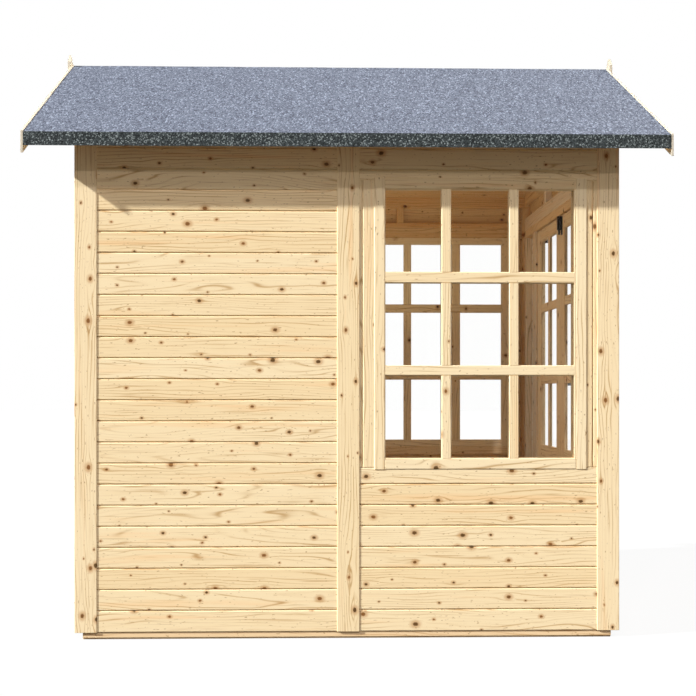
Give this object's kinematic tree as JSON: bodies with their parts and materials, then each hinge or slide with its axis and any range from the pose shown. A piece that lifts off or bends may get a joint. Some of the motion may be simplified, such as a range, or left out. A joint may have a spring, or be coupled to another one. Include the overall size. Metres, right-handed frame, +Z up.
{
  "type": "garden shed",
  "caption": "Pine garden shed of the summerhouse kind: boarded walls, felted gable roof with bargeboards and finials, barred side windows and glazed double doors in the front gable.",
  "frame": {"origin": "on the ground under the middle of the building, at the underside of the floor joists", "axes": "+X from the back gable to the door gable, -Y the left side as seen facing the doors, which is the side in the picture, +Z up"},
  "size_m": [2.538, 2.382, 2.5344],
  "materials": {
    "pine_framing": "rough sawn, untreated",
    "floor_boards": "planed, untreated",
    "pine_cladding": "planed V-jointed boards, untreated, matt",
    "pine_trim": "planed, eased edges, matt",
    "pine_joinery": "planed joinery, matt",
    "roof_boards": "planed boards, untreated",
    "mineral_felt": "blue-grey mineral chips on bitumen felt, matt",
    "clear_glass": "clear float glass",
    "black_iron": "black powder coat, satin"
  },
  "bodies": {
    "root": {"floor_joists": "pine_framing", "side_sole_plates": "pine_framing", "end_sole_plates": "pine_framing", "side_wall_studs": "pine_framing", "window_trimmers": "pine_framing", "side_wall_plates": "pine_framing", "end_wall_studs": "pine_framing", "end_wall_plates": "pine_framing", "door_head": "pine_framing", "gable_rafters": "pine_framing", "gable_noggins": "pine_framing", "roof_timbers": "pine_framing", "floor_deck": "floor_boards", "left_rear_cladding": "pine_cladding", "right_rear_cladding": "pine_cladding", "left_window_cladding": "pine_cladding", "right_window_cladding": "pine_cladding", "window_jamb_boards": "pine_cladding", "back_cladding": "pine_cladding", "back_gable": "pine_cladding", "front_cladding": "pine_cladding", "front_gable": "pine_cladding", "side_corner_trims": "pine_trim", "end_corner_trims": "pine_trim", "cover_strips": "pine_trim", "door_casings": "pine_trim", "door_casing_head": "pine_trim", "door_sill": "pine_trim", "bargeboards": "pine_trim", "finials": "pine_trim", "window_stiles": "pine_joinery", "window_rails": "pine_joinery", "left_roof_boards": "roof_boards", "right_roof_boards": "roof_boards", "roof_felt": "mineral_felt", "window_glass": "clear_glass", "hinge_plates": "black_iron"},
    "left_door": {"left_door_stiles": "pine_joinery", "left_door_rails": "pine_joinery", "left_door_panel": "pine_cladding", "left_door_glass": "clear_glass", "left_door_straps": "black_iron", "door_bolt": "black_iron"},
    "right_door": {"right_door_stiles": "pine_joinery", "right_door_rails": "pine_joinery", "right_door_panel": "pine_cladding", "right_door_glass": "clear_glass", "right_door_straps": "black_iron", "door_knob": "black_iron"}
  },
  "joints": [
    {"name": "left_door_hinge", "type": "hinge", "parent": "root", "child": "left_door", "pos_m": [1.077, -0.6425, 0.6455], "axis": [0, 0, -1], "range_deg": [0, 170]},
    {"name": "right_door_hinge", "type": "hinge", "parent": "root", "child": "right_door", "pos_m": [1.077, 0.6425, 0.6455], "axis": [0, 0, 1], "range_deg": [0, 170]}
  ]
}
